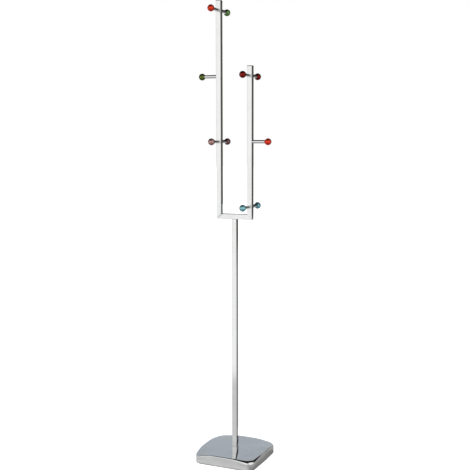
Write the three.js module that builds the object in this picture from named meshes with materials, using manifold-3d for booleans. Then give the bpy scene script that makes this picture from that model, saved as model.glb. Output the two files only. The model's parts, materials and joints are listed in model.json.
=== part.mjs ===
// A standing coat rack. A square chromed post stands on a heavy pillow-shaped foot and carries a crossbar
// with two upright arms of different heights. Ten round pegs, each ending in a coloured ball, are screwed
// to the arms: in pairs to the front and the rear, and singly to the outer sides.
//
// Millimetres. +X runs along the crossbar towards the shorter arm, -Y is the front and +Z is up.
// The origin lies on the floor, under the middle of the foot.

import * as THREE from "three";
import { ParametricGeometry } from "three/addons/geometries/ParametricGeometry.js";
import { mergeVertices } from "three/addons/utils/BufferGeometryUtils.js";
import Module from "manifold-3d";

const wasm = await Module();
wasm.setup();

// ---- driving dimensions ----

// Heights of the whole rack
const totalHeight = 1800;
const pegPitch = 250; // from one row of pegs to the next, and from one arm's top to the other's
const topPegDrop = 38; // axis of an arm's highest pegs below its top
const lowPegRise = 40; // axis of the lowest pegs above the crossbar's axis

// Square tube of the post, the crossbar and the arms
const tubeSize = 20;
const tubeWall = 1.5;
const tubeCorner = 1.2; // outer corner radius
const boreCorner = 0.5; // the same inside
const armSpacing = 130; // between the axes of the two arms
const mitreGap = 0.2; // seam left open between an arm and the crossbar

// Caps that close the arms
const capThickness = 2.5;
const capPlugLength = 9;

// Pegs and balls
const pegDiameter = 13;
const pegLength = 51;
const pegChamfer = 0.5;
const tappedDepth = 12; // blind threaded hole in each end of a peg
const ballDiameter = 27;
const ballHoleDepth = 10;
const threadDiameter = 6;
const threadClearance = 0.3; // all round a stud, in its holes
const nutFlangeThickness = 0.5; // of the rivet nut under a side peg

// Foot
const footHalfWidth = 130; // from the middle to the middle of a side
const footBow = 6; // how far a side stands out from a straight line between its corners
const footCornerRadius = 33;
const footHeight = 45; // floor to the crown of the cover
const coverThickness = 1.2;
const rimClearance = 3; // floor to the cover's lower rim
const sideDrop = 2.5; // crown to the top of the cover at the middle of a side
const cornerDrop = 8; // crown to the top of the cover at a corner
const sideEdgeRadius = 4; // rounding between top and wall at the middle of a side
const cornerEdgeRadius = 15; // the same at a corner
const cornerSharpness = 6; // how closely the drop and the rounding keep to the corners
const crownPower = 3; // how late the top falls away from the crown

// Inside the foot
const plateThickness = 1.5;
const plateInset = 3.5;
const ballastInset = 8;
const ballastThickness = 16;
const bossRadius = 26;
const padDiameter = 24;
const padPlace = 85; // of each rubber pad from the middle, along X and along Y
const padStemDiameter = 8;
const padStemLength = 8;
const padEdge = 1.2; // chamfer round the pad's underside
const padStemChamfer = 1;

// Bolt that holds the foot to the post
const boltDiameter = 10;
const boltHeadHeight = 6.4;
const boltHeadAcross = 17;
const washerDiameter = 28;
const washerThickness = 2;
const springWasherThickness = 2.5;
const boltClearance = 0.3;
const boltHeadRecess = 2; // plate's underside of the ballast to the head's lower face
const springWasherWidth = 4;
const springWasherGap = 0.12; // half the angle of its split, in radians
const washerSideClearance = 1; // round the flat washer, in the ballast
const plateMouthClearance = 3; // round the flat washer, in the bottom plate

// Knock-down joint under the crossbar
const fitClearance = 0.3; // around a plug or spigot inside the square tube
const spigotLength = 60;
const footPlugLength = 25;
const jointScrewDrops = [18, 42]; // below the crossbar's underside
const screwHeadDiameter = 10.5;
const screwHeadHeight = 3.3;
const screwLength = 12;
const socketAcross = 4;
const socketDepth = 2;
const barCorner = 0.5; // corner radius of the solid square bars inside the tubes

// Rivet nut under a side peg
const rivetBodyRadius = 4.5;
const rivetBulgeRadius = 5.6;
const rivetFlangeRadius = 6;
const rivetLength = 9; // from the tube's face inwards
const rivetBulgeLength = 2;
const rivetTaperEnd = 5; // depth at which the bulge has run out into the body

// Facets round a turned piece
const pegFacets = 14;
const studFacets = 8;
const fastenerFacets = 16;
const holeFacets = 12;
const washerFacets = 24;
const outlinePoints = 48; // round the foot's inner plates

// ---- worked out from them ----

const halfTube = tubeSize / 2;
const armOffset = armSpacing / 2;
const topRowHeight = totalHeight - topPegDrop;
const barHeight = topRowHeight - 3 * pegPitch - lowPegRise; // the crossbar's axis
const barUnderside = barHeight - halfTube;
const threadRadius = threadDiameter / 2;
const threadHoleRadius = threadRadius + threadClearance;
const plugSize = tubeSize - 2 * tubeWall - 2 * fitClearance;
const plateUnderside = rimClearance + plateThickness;
const ballastUnderside = plateUnderside + plateThickness;
const ballRadius = ballDiameter / 2;
const pegRadius = pegDiameter / 2;
const ballFlatOffset = Math.sqrt(ballRadius ** 2 - pegRadius ** 2); // ball's middle to its flat

// ---- materials ----

function finish(color, metalness, roughness) {
  return new THREE.MeshStandardMaterial({ color, metalness, roughness });
}
const chrome = finish("#d9dcdf", 1, 0.07);
const zincSteel = finish("#a9adb2", 1, 0.38);
const castIron = finish("#3a3b3d", 0.6, 0.75);
const blackSheet = finish("#1d1e20", 0.4, 0.6);
const rubber = finish("#161616", 0, 0.85);
const capPlastic = finish("#4c423f", 0, 0.45);
const ballColours = {
  red: "#b81d12",
  green: "#3c7a2c",
  olive: "#49591f",
  rose: "#a9767c",
  plum: "#77505c",
  maroon: "#7a1712",
  orange: "#d8371c",
  turquoise: "#52a9b4",
  teal: "#2f7f90",
};

// ---- helpers ----

const root = new THREE.Group();

function addPart(name, geometry, material, parent = root) {
  const mesh = new THREE.Mesh(geometry, material);
  mesh.name = name;
  parent.add(mesh);
  return mesh;
}

// A closed geometry as a manifold-3d solid, and back.
function toSolid(geometry) {
  const plain = new THREE.BufferGeometry();
  plain.setAttribute("position", geometry.getAttribute("position"));
  plain.setIndex(geometry.getIndex());
  const merged = mergeVertices(plain, 1e-4);
  const vertProperties = new Float32Array(merged.getAttribute("position").array);
  const triVerts = new Uint32Array(merged.getIndex().array);
  return new wasm.Manifold(new wasm.Mesh({ numProp: 3, vertProperties, triVerts }));
}
function toGeometry(solid) {
  const { vertProperties, triVerts } = solid.getMesh();
  const geometry = new THREE.BufferGeometry();
  geometry.setAttribute("position", new THREE.BufferAttribute(vertProperties, 3));
  geometry.setIndex(new THREE.BufferAttribute(triVerts, 1));
  return geometry;
}
function cut(geometry, ...tools) {
  const solid = tools.reduce((rest, tool) => rest.subtract(toSolid(tool)), toSolid(geometry));
  return toGeometry(solid);
}
function join(...geometries) {
  return toGeometry(geometries.map(toSolid).reduce((whole, next) => whole.add(next)));
}

// A solid of revolution about Z. The profile is [radius, height] pairs, walked up the outside.
function revolve(profile, segments) {
  const points = profile.map(([radius, height]) => new THREE.Vector2(radius, height));
  return new THREE.LatheGeometry(points, segments).rotateX(Math.PI / 2);
}

// An upright round bar between two heights.
function roundBar(radius, bottom, top, segments) {
  const bar = new THREE.CylinderGeometry(radius, radius, top - bottom, segments);
  return bar.rotateX(Math.PI / 2).translate(0, 0, (bottom + top) / 2);
}

// A round bar lying along X or Y, for cutting a hole through a tube's wall.
function holeAcross(radius, length, axis) {
  const bar = new THREE.CylinderGeometry(radius, radius, length, holeFacets);
  return axis === "x" ? bar.rotateZ(Math.PI / 2) : bar;
}

function squareOutline(target, size, corner) {
  const side = size / 2;
  const flat = side - corner;
  target.moveTo(flat, -side);
  target.absarc(flat, -flat, corner, -Math.PI / 2, 0, false);
  target.absarc(flat, flat, corner, 0, Math.PI / 2, false);
  target.absarc(-flat, flat, corner, Math.PI / 2, Math.PI, false);
  target.absarc(-flat, -flat, corner, Math.PI, (3 * Math.PI) / 2, false);
  target.closePath();
  return target;
}

function upright(shape, depth, bottom) {
  const options = { depth, bevelEnabled: false, curveSegments: 3 };
  return new THREE.ExtrudeGeometry(shape, options).translate(0, 0, bottom);
}

function squareTube(length) {
  const shape = squareOutline(new THREE.Shape(), tubeSize, tubeCorner);
  const bore = squareOutline(new THREE.Path(), tubeSize - 2 * tubeWall, boreCorner);
  shape.holes.push(bore);
  return upright(shape, length, 0);
}

function squareBar(size, length, bottom) {
  return upright(squareOutline(new THREE.Shape(), size, barCorner), length, bottom);
}

// Slants one end of an upright tube to 45 degrees. The end's vertices move along Z with their own X,
// and the tube's longest edge keeps its height: inward is 1 at a lower end and -1 at an upper one.
function mitre(geometry, endHeight, slope, inward) {
  const position = geometry.getAttribute("position");
  for (let i = 0; i < position.count; i += 1) {
    if (Math.abs(position.getZ(i) - endHeight) < 1e-6) {
      position.setZ(i, endHeight + slope * position.getX(i) + inward * halfTube);
    }
  }
  return geometry;
}

// ---- outline of the foot: four bowed sides with a round corner between each two ----

const straightCorner = footHalfWidth - footBow; // the bowed sides would cross at (this, this)
const sideArcRadius = (straightCorner ** 2 + footBow ** 2) / (2 * footBow);
const sideArcCentre = footHalfWidth - sideArcRadius; // on the X axis, for the +X side
// The corner's centre (c, c) lies as far from a side's centre as the two radii differ.
const radiusDifference = sideArcRadius - footCornerRadius;
const cornerCentre = (sideArcCentre + Math.sqrt(2 * radiusDifference ** 2 - sideArcCentre ** 2)) / 2;
const tangentAngle = (() => {
  const reach = sideArcRadius / radiusDifference;
  const x = sideArcCentre + (cornerCentre - sideArcCentre) * reach;
  return Math.atan2(cornerCentre * reach, x);
})();

// How far the ray from the origin at an angle goes before it leaves a circle.
function rayLength(angle, centreX, centreY, radius) {
  const along = centreX * Math.cos(angle) + centreY * Math.sin(angle);
  return along + Math.sqrt(along ** 2 - centreX ** 2 - centreY ** 2 + radius ** 2);
}
function footRadius(angle) {
  const quarter = Math.PI / 2;
  const fromSide = Math.abs(angle - quarter * Math.round(angle / quarter));
  return fromSide < tangentAngle
    ? rayLength(fromSide, sideArcCentre, 0, sideArcRadius)
    : rayLength(fromSide, cornerCentre, cornerCentre, footCornerRadius);
}
function footOutline(inset, points) {
  const angles = Array.from({ length: points }, (_, i) => (2 * Math.PI * i) / points);
  return new THREE.Shape(
    angles.map((angle) => {
      const radius = footRadius(angle) - inset;
      return new THREE.Vector2(radius * Math.cos(angle), radius * Math.sin(angle));
    }),
  );
}

// ---- base cover: a pressed sheet, crowned on top, with a rounded edge and a straight wall ----

const coverSlices = 60; // round the outline
const crownStations = [0.4, 0.75]; // fractions of the way out over the top
const edgeSteps = 4;

function coverSkin(angle, inset) {
  const outer = footRadius(angle);
  const cornerness = Math.abs(Math.sin(2 * angle)) ** cornerSharpness;
  const drop = sideDrop + (cornerDrop - sideDrop) * cornerness;
  const edge = sideEdgeRadius + (cornerEdgeRadius - sideEdgeRadius) * cornerness;
  const crown = (radius) => footHeight - drop * (radius / outer) ** crownPower;
  const edgeCentre = outer - edge;
  const slope = Math.atan((crownPower * drop) / outer);
  const edgeStart = edgeCentre + edge * Math.sin(slope);
  const edgeCentreHeight = crown(edgeStart) - edge * Math.cos(slope);
  const holeRadius = boltDiameter / 2 + boltClearance;
  const skin = [holeRadius, ...crownStations.map((share) => share * edgeStart)].map((radius) => [
    radius,
    crown(radius) - inset,
  ]);
  for (let i = 0; i <= edgeSteps; i += 1) {
    const turn = slope + ((Math.PI / 2 - slope) * i) / edgeSteps;
    skin.push([
      edgeCentre + (edge - inset) * Math.sin(turn),
      edgeCentreHeight + (edge - inset) * Math.cos(turn),
    ]);
  }
  skin.push([outer - inset, rimClearance]);
  return skin;
}

function baseCover() {
  const loopLength = coverSkin(0, 0).length * 2;
  const place = (u, v, target) => {
    const angle = -2 * Math.PI * u; // turned clockwise, so that the faces point outwards
    const loop = [...coverSkin(angle, 0), ...coverSkin(angle, coverThickness).reverse()];
    const [radius, height] = loop[Math.round(v * loopLength) % loopLength];
    target.set(radius * Math.cos(angle), radius * Math.sin(angle), height);
  };
  return new ParametricGeometry(place, coverSlices, loopLength);
}
addPart("base_cover", baseCover(), chrome);

// ---- inside of the foot ----

const padPlaces = {
  foot_pad_front_left: [-padPlace, -padPlace],
  foot_pad_front_right: [padPlace, -padPlace],
  foot_pad_rear_left: [-padPlace, padPlace],
  foot_pad_rear_right: [padPlace, padPlace],
};
const stemTop = ballastUnderside + padStemLength;
const headBottom = ballastUnderside + boltHeadRecess;
const springWasherBottom = headBottom + boltHeadHeight;
const washerBottom = springWasherBottom + springWasherThickness;
const washerTop = washerBottom + washerThickness;
const coverInnerCrown = footHeight - coverThickness;

function padHoles(top) {
  return Object.values(padPlaces).map(([x, y]) =>
    roundBar(padStemDiameter / 2 + fitClearance, 0, top, holeFacets).translate(x, y, 0),
  );
}

const ballastSlab = upright(footOutline(ballastInset, outlinePoints), ballastThickness, ballastUnderside);
const ballastBoss = roundBar(bossRadius, washerTop, coverInnerCrown - fitClearance, washerFacets);
const ballastHoles = [
  roundBar(boltDiameter / 2 + boltClearance, 0, footHeight, fastenerFacets),
  roundBar(washerDiameter / 2 + washerSideClearance, 0, washerTop, washerFacets),
  ...padHoles(stemTop + 1),
];
addPart("ballast_weight", cut(join(ballastSlab, ballastBoss), ...ballastHoles), castIron);

const plate = upright(footOutline(plateInset, outlinePoints), plateThickness, plateUnderside);
const plateMouth = roundBar(washerDiameter / 2 + plateMouthClearance, 0, footHeight, washerFacets);
addPart("bottom_plate", cut(plate, plateMouth, ...padHoles(footHeight)), blackSheet);

// Rubber pad with a stem that pushes through the plate into the ballast.
const padRadius = padDiameter / 2;
const stemRadius = padStemDiameter / 2;
const padProfile = [
  [0, 0],
  [padRadius - padEdge, 0],
  [padRadius, padEdge],
  [padRadius, plateUnderside],
  [stemRadius, plateUnderside],
  [stemRadius, stemTop - padStemChamfer],
  [stemRadius - padStemChamfer, stemTop],
  [0, stemTop],
];
for (const [name, [x, y]] of Object.entries(padPlaces)) {
  addPart(name, revolve(padProfile, fastenerFacets), rubber).position.set(x, y, 0);
}

// Hexagon bolt with its two washers, and the threaded plug in the post's lower end.
const headRadius = boltHeadAcross / Math.sqrt(3);
const boltTop = footHeight + footPlugLength - 2;
const boltHead = roundBar(headRadius, headBottom, springWasherBottom, 6);
const boltShank = roundBar(boltDiameter / 2, springWasherBottom - 1, boltTop, fastenerFacets);
addPart("post_bolt", join(boltHead, boltShank), zincSteel);

const ringHole = boltDiameter / 2 + boltClearance;
const springRing = new THREE.Shape();
const splitEnd = 2 * Math.PI - springWasherGap;
springRing.absarc(0, 0, boltDiameter / 2 + springWasherWidth, springWasherGap, splitEnd, false);
springRing.absarc(0, 0, ringHole, splitEnd, springWasherGap, true);
springRing.closePath();
const springOptions = { depth: springWasherThickness, bevelEnabled: false, curveSegments: 14 };
const springWasher = new THREE.ExtrudeGeometry(springRing, springOptions);
addPart("spring_washer", springWasher.translate(0, 0, springWasherBottom), zincSteel);

const flatWasher = [
  [ringHole, washerBottom],
  [washerDiameter / 2, washerBottom],
  [washerDiameter / 2, washerTop],
  [ringHole, washerTop],
  [ringHole, washerBottom],
];
addPart("flat_washer", revolve(flatWasher, washerFacets), zincSteel);

const plugBore = roundBar(ringHole, 0, footHeight + footPlugLength + 1, fastenerFacets);
addPart("post_nut_plug", cut(squareBar(plugSize, footPlugLength, footHeight), plugBore), zincSteel);

// ---- post, with the knock-down joint at its head ----

const jointScrewHeights = jointScrewDrops.map((drop) => barUnderside - drop);
const postHoles = jointScrewHeights.map((height) =>
  holeAcross(threadHoleRadius, tubeSize, "y").translate(0, halfTube, height),
);
const postTube = squareTube(barUnderside - footHeight).translate(0, 0, footHeight);
addPart("post", cut(postTube, ...postHoles), chrome);

const spigotHoles = jointScrewHeights.map((height) =>
  holeAcross(threadHoleRadius, tubeSize, "y").translate(0, halfTube - 1, height),
);
const spigotBar = squareBar(plugSize, spigotLength, barUnderside - spigotLength);
addPart("joining_spigot", cut(spigotBar, ...spigotHoles), zincSteel);

// Button-head screw along +Z: the head stands on Z = 0 and the shank goes down.
const headDome = [[0.93, 0.5], [0.72, 0.87], [0.45, 1]]; // shares of the head's radius and height
function jointScrew() {
  const headEdge = screwHeadDiameter / 2;
  const profile = [
    [0, -screwLength + tubeWall],
    [threadRadius, -screwLength + tubeWall],
    [threadRadius, 0],
    [headEdge, 0],
    ...headDome.map(([across, up]) => [headEdge * across, screwHeadHeight * up]),
    [0, screwHeadHeight],
  ];
  const socketBottom = screwHeadHeight - socketDepth;
  const socket = roundBar(socketAcross / Math.sqrt(3), socketBottom, screwHeadHeight + 1, 6);
  return cut(revolve(profile, fastenerFacets), socket);
}
["upper", "lower"].forEach((level, i) => {
  const screw = addPart(`joint_screw_${level}`, jointScrew(), zincSteel);
  screw.rotation.x = -Math.PI / 2;
  screw.position.set(0, halfTube, jointScrewHeights[i]);
});

// ---- crossbar and arms, mitred where they meet ----

// Made upright from 0 to its length, both ends slanted, then laid along X.
const crossbar = squareTube(armSpacing + tubeSize);
mitre(crossbar, 0, -1, 1);
mitre(crossbar, armSpacing + tubeSize, 1, -1);
crossbar.rotateY(Math.PI / 2).translate(-armOffset - halfTube, 0, barHeight);
addPart("crossbar", crossbar, chrome);

const arms = {
  left: { x: -armOffset, outward: -1, top: totalHeight },
  right: { x: armOffset, outward: 1, top: totalHeight - pegPitch },
};

// Rows are counted down from the tall arm's top pegs.
const rowHeight = (row) => topRowHeight - row * pegPitch;
const pegRows = [
  { arm: "left", row: 0, level: "top", balls: { front: "red", rear: "green" } },
  { arm: "left", row: 1, level: "middle", balls: { side: "olive" } },
  { arm: "left", row: 2, level: "low", balls: { front: "rose", rear: "plum" } },
  { arm: "right", row: 1, level: "top", balls: { front: "maroon", rear: "maroon" } },
  { arm: "right", row: 2, level: "middle", balls: { side: "orange" } },
  { arm: "right", row: 3, level: "low", balls: { front: "turquoise", rear: "teal" } },
];

for (const [side, arm] of Object.entries(arms)) {
  const bottom = barUnderside + mitreGap;
  const tube = squareTube(arm.top - capThickness - bottom);
  mitre(tube, 0, -arm.outward, 1);
  tube.translate(0, 0, bottom);
  const holes = pegRows
    .filter((row) => row.arm === side)
    .map(({ row, balls }) =>
      balls.side
        ? holeAcross(rivetBodyRadius + threadClearance, tubeSize, "x")
            .translate(arm.outward * halfTube, 0, rowHeight(row))
        : holeAcross(threadHoleRadius, tubeSize * 2, "y").translate(0, 0, rowHeight(row)),
    );
  addPart(`${side}_arm`, cut(tube, ...holes), chrome).position.x = arm.x;

  const capBottom = arm.top - capThickness;
  const capPlate = upright(squareOutline(new THREE.Shape(), tubeSize, tubeCorner), capThickness, capBottom);
  const capPlug = squareBar(plugSize, capPlugLength + 1, capBottom - capPlugLength);
  addPart(`${side}_arm_cap`, join(capPlate, capPlug), capPlastic).position.x = arm.x;
}

// ---- pegs, balls, studs and rivet nuts, each drawn along +Z from the tube's face ----

const ballSeat = 0.1; // hairline between a peg's end and the ball
const studEngagement = 8.5; // of a ball stud, each way from the joint
const studEndGap = 1; // between a stud's end and the bottom of a tapped hole

// A stud along +Z.
function studBar(start, end) {
  return roundBar(threadRadius, start, end, studFacets);
}

function pegProfile(start) {
  return [
    [0, start + tappedDepth],
    [threadHoleRadius, start + tappedDepth],
    [threadHoleRadius, start],
    [pegRadius - pegChamfer, start],
    [pegRadius, start + pegChamfer],
    [pegRadius, pegLength - pegChamfer],
    [pegRadius - pegChamfer, pegLength],
    [threadHoleRadius, pegLength],
    [threadHoleRadius, pegLength - tappedDepth],
    [0, pegLength - tappedDepth],
  ];
}

function ballProfile() {
  const flat = pegLength + ballSeat;
  const middle = flat + ballFlatOffset;
  const bands = 7;
  const startAngle = Math.asin(pegRadius / ballRadius);
  const round = Array.from({ length: bands }, (_, i) => {
    const turn = startAngle + ((Math.PI - startAngle) * i) / bands;
    return [ballRadius * Math.sin(turn), middle - ballRadius * Math.cos(turn)];
  });
  return [
    [0, flat + ballHoleDepth],
    [threadHoleRadius, flat + ballHoleDepth],
    [threadHoleRadius, flat],
    ...round,
    [0, middle + ballRadius],
  ];
}

// Flange on the tube's face, body through the wall, and the bulge that grips behind it.
const gripDepth = -tubeWall - threadClearance; // just behind the tube's wall
const rivetNutProfile = [
  [threadHoleRadius, -rivetLength],
  [rivetBodyRadius, -rivetLength],
  [rivetBodyRadius, -rivetTaperEnd],
  [rivetBulgeRadius, -tubeWall - rivetBulgeLength],
  [rivetBulgeRadius, gripDepth],
  [rivetBodyRadius, gripDepth],
  [rivetBodyRadius, 0],
  [rivetFlangeRadius, 0],
  [rivetFlangeRadius, nutFlangeThickness],
  [threadHoleRadius, nutFlangeThickness],
  [threadHoleRadius, -rivetLength],
];

const outwardTurn = {
  front: new THREE.Euler(Math.PI / 2, 0, 0),
  rear: new THREE.Euler(-Math.PI / 2, 0, 0),
  left: new THREE.Euler(0, -Math.PI / 2, 0),
  right: new THREE.Euler(0, Math.PI / 2, 0),
};
const outwardStep = {
  front: new THREE.Vector3(0, -halfTube, 0),
  rear: new THREE.Vector3(0, halfTube, 0),
  left: new THREE.Vector3(-halfTube, 0, 0),
  right: new THREE.Vector3(halfTube, 0, 0),
};

for (const { arm, row, level, balls } of pegRows) {
  const axis = new THREE.Vector3(arms[arm].x, 0, rowHeight(row));
  for (const [facing, colour] of Object.entries(balls)) {
    const direction = facing === "side" ? arm : facing;
    const holder = new THREE.Group();
    holder.rotation.copy(outwardTurn[direction]);
    holder.position.copy(axis).add(outwardStep[direction]);
    root.add(holder);

    const name = `${arm}_${level}_${facing}`;
    const start = facing === "side" ? nutFlangeThickness : 0;
    const ballStud = studBar(pegLength - studEngagement, pegLength + studEngagement);
    const anodised = finish(ballColours[colour], 1, 0.15);
    addPart(`${name}_peg`, revolve(pegProfile(start), pegFacets), chrome, holder);
    addPart(`${name}_ball`, revolve(ballProfile(), pegFacets), anodised, holder);
    addPart(`${name}_ball_stud`, ballStud, zincSteel, holder);
    if (facing === "side") {
      addPart(`${name}_rivet_nut`, revolve(rivetNutProfile, pegFacets), zincSteel, holder);
      const pegStud = studBar(-studEngagement, tappedDepth - studEndGap);
      addPart(`${name}_peg_stud`, pegStud, zincSteel, holder);
    }
  }
  if (balls.front) {
    // One stud runs through the arm and into both pegs.
    const reach = halfTube + tappedDepth - studEndGap;
    const stud = addPart(`${arm}_${level}_through_stud`, studBar(-reach, reach), zincSteel);
    stud.rotation.x = Math.PI / 2;
    stud.position.copy(axis);
  }
}

export default root;
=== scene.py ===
# A standing coat rack: chromed square tubes on a pillow-shaped foot, with ten pegs and ten coloured balls.
# Metres, +X towards the shorter arm, -Y the front, +Z up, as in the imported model.

import json
import math

import bmesh
import bpy
import numpy as np
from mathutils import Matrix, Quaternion, Vector


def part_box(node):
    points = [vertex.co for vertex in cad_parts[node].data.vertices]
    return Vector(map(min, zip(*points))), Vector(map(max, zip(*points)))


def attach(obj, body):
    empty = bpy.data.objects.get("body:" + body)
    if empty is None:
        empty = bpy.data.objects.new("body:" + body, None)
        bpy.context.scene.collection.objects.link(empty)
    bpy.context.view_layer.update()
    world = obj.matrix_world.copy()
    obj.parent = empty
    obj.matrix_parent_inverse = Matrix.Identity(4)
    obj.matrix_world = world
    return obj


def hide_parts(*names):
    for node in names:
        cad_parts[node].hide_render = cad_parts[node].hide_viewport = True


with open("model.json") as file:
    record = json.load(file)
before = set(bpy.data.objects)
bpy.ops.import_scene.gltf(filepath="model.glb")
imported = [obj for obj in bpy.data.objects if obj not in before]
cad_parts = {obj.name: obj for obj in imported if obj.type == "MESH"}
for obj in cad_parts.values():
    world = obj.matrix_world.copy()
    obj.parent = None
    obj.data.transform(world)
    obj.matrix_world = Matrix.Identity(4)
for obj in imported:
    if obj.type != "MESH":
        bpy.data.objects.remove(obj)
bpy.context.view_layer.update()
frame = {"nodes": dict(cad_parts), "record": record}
scene = bpy.context.scene
nodes = frame["nodes"]
slotOfNode = {part["node"]: part["material_slot"] for part in frame["record"]["subparts"]}
mm = 0.001
turn = 2 * math.pi
print("frame loaded:", len(nodes), "nodes")


class Wire:
    # one output of a node; arithmetic on it adds Math nodes to its tree
    def __init__(self, shop, socket):
        self.shop = shop
        self.socket = socket

    def __add__(self, other):
        return self.shop.math("ADD", self, other)

    def __radd__(self, other):
        return self.shop.math("ADD", other, self)

    def __sub__(self, other):
        return self.shop.math("SUBTRACT", self, other)

    def __rsub__(self, other):
        return self.shop.math("SUBTRACT", other, self)

    def __mul__(self, other):
        return self.shop.math("MULTIPLY", self, other)

    def __rmul__(self, other):
        return self.shop.math("MULTIPLY", other, self)

    def __truediv__(self, other):
        return self.shop.math("DIVIDE", self, other)

    def __rtruediv__(self, other):
        return self.shop.math("DIVIDE", other, self)

    def __pow__(self, power):
        return self.shop.math("POWER", self, power)

    def __abs__(self):
        return self.shop.math("ABSOLUTE", self)


class Shop:
    # a node tree being filled: node() makes any node, the other methods are short ways to common ones
    def __init__(self, tree):
        self.tree = tree
        tree.nodes.clear()

    def node(self, kind, settings=None, inputs=None, out=0):
        # settings come first, then each input gets a value or a wire
        made = self.tree.nodes.new(kind)
        for name, value in (settings or {}).items():
            setattr(made, name, value)
        for name, value in (inputs or {}).items():
            if isinstance(value, Wire):
                self.tree.links.new(value.socket, made.inputs[name])
            else:
                made.inputs[name].default_value = value
        return Wire(self, made.outputs[out]) if len(made.outputs) else made

    def math(self, operation, first, second=0.0):
        return self.node("ShaderNodeMath", {"operation": operation}, {0: first, 1: second})

    def place(self):
        return self.node("ShaderNodeTexCoord", out="Object")

    def split(self, vector, axis):
        return self.node("ShaderNodeSeparateXYZ", inputs={0: vector}, out=axis)

    def noise(self, place, scale, detail=3.0, roughness=0.5, distortion=0.0):
        inputs = {"Vector": place, "Scale": scale, "Detail": detail}
        inputs.update({"Roughness": roughness, "Distortion": distortion})
        return self.node("ShaderNodeTexNoise", inputs=inputs, out=0)

    def cells(self, place, scale, feature="F1"):
        # distance to the nearest cell's middle, or to the edge between cells
        return self.node("ShaderNodeTexVoronoi", {"feature": feature}, {"Vector": place, "Scale": scale})

    def ramp(self, value, low, high, kind="SMOOTHSTEP"):
        # 0 below low and 1 above high, or the other way round when low is the larger
        return self.node("ShaderNodeMapRange", {"interpolation_type": kind},
                         {"Value": value, "From Min": low, "From Max": high})

    def mix(self, share, first, second):
        # a colour that goes from first to second with share
        settings = {"data_type": "RGBA", "blend_type": "MIX"}
        return self.node("ShaderNodeMix", settings, {0: share, 6: first, 7: second}, out=2)

    def bump(self, height, strength=1.0):
        # height is in metres
        return self.node("ShaderNodeBump", inputs={"Height": height, "Distance": 1.0, "Strength": strength})


def newMaterial(name):
    # an empty material and the shop that fills it
    material = bpy.data.materials.new(name)
    material.use_nodes = True
    return material, Shop(material.node_tree)


def finishMaterial(shop, inputs):
    # the Principled shader with the given inputs, joined to the output
    surface = shop.node("ShaderNodeBsdfPrincipled", inputs=inputs)
    shop.node("ShaderNodeOutputMaterial", inputs={"Surface": surface})


def glowMaterial(shop, colour):
    # plain light of the given colour, joined to the output
    glow = shop.node("ShaderNodeEmission", inputs={"Color": colour, "Strength": 1.0})
    shop.node("ShaderNodeOutputMaterial", inputs={"Surface": glow})


def shade(r, g, b):
    # an opaque colour
    return (r, g, b, 1.0)


# in each look a pair of numbers says where a mark begins and where it is full

chromeLook = {  # tubes, pegs and the foot's cover
    "tone": shade(0.60, 0.605, 0.61),
    "wipedTone": shade(0.555, 0.56, 0.565),
    "wipeScale": 16.0,
    "wiped": (0.45, 0.75),
    "polishScale": 900.0,
    "dustScale": 260.0,
    "dust": (0.10, 0.04),
    "roughness": 0.028,
    "wipedRoughness": 0.06,
    "grainRoughness": 0.02,
    "dustRoughness": 0.2,
    "waveScale": 9.0,
    "waveHeight": 0.06 * mm,
    "grainHeight": 0.0006 * mm,
}


def chromeMaterial():
    # roughness and tone follow wiping marks; a slow wave of the sheet and a fine polishing grain are relief
    look = chromeLook
    material, shop = newMaterial("polishedChrome")
    place = shop.place()
    wiped = shop.ramp(shop.noise(place, look["wipeScale"], 5.0, 0.6, 0.4), *look["wiped"])
    grain = shop.noise(place, look["polishScale"], 2.0)
    wave = shop.noise(place, look["waveScale"], 2.0)
    dust = shop.ramp(shop.cells(place, look["dustScale"]), *look["dust"])
    smooth = look["roughness"] + look["wipedRoughness"] * wiped
    finishMaterial(shop, {
        "Base Color": shop.mix(wiped, look["tone"], look["wipedTone"]),
        "Metallic": 1.0,
        "Roughness": smooth + look["grainRoughness"] * grain + look["dustRoughness"] * dust,
        "Normal": shop.bump(look["waveHeight"] * wave + look["grainHeight"] * grain),
    })
    return material


zincLook = {  # bolt, washers, screws, studs and rivet nuts
    "tone": shade(0.42, 0.43, 0.45),
    "warmTone": shade(0.46, 0.42, 0.33),
    "bloomScale": 120.0,
    "bloom": (0.4, 0.7),
    "bloomShare": 0.5,
    "crystalScale": 1400.0,
    "crystalHeight": 0.01 * mm,
    "roughness": 0.3,
    "bloomRoughness": 0.15,
    "crystalRoughness": 0.08,
}


def zincMaterial():
    # bright zinc with a faint yellow bloom and a fine crystalline relief
    look = zincLook
    material, shop = newMaterial("brightZinc")
    place = shop.place()
    bloom = shop.ramp(shop.noise(place, look["bloomScale"], 4.0), *look["bloom"])
    crystal = shop.cells(place, look["crystalScale"])
    finishMaterial(shop, {
        "Base Color": shop.mix(look["bloomShare"] * bloom, look["tone"], look["warmTone"]),
        "Metallic": 1.0,
        "Roughness": look["roughness"] + look["bloomRoughness"] * bloom + look["crystalRoughness"] * crystal,
        "Normal": shop.bump(look["crystalHeight"] * crystal),
    })
    return material


ironLook = {  # the weight in the foot
    "tone": shade(0.035, 0.035, 0.037),
    "dustTone": shade(0.10, 0.09, 0.08),
    "sandScale": 700.0,
    "sandHeight": 0.25 * mm,
    "pitScale": 380.0,
    "pitHeight": 0.1 * mm,
    "pitShare": 0.4,
    "dust": (0.9, 0.55),
    "dustShare": 0.6,
    "roughness": 0.62,
    "dustRoughness": 0.25,
}


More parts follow.
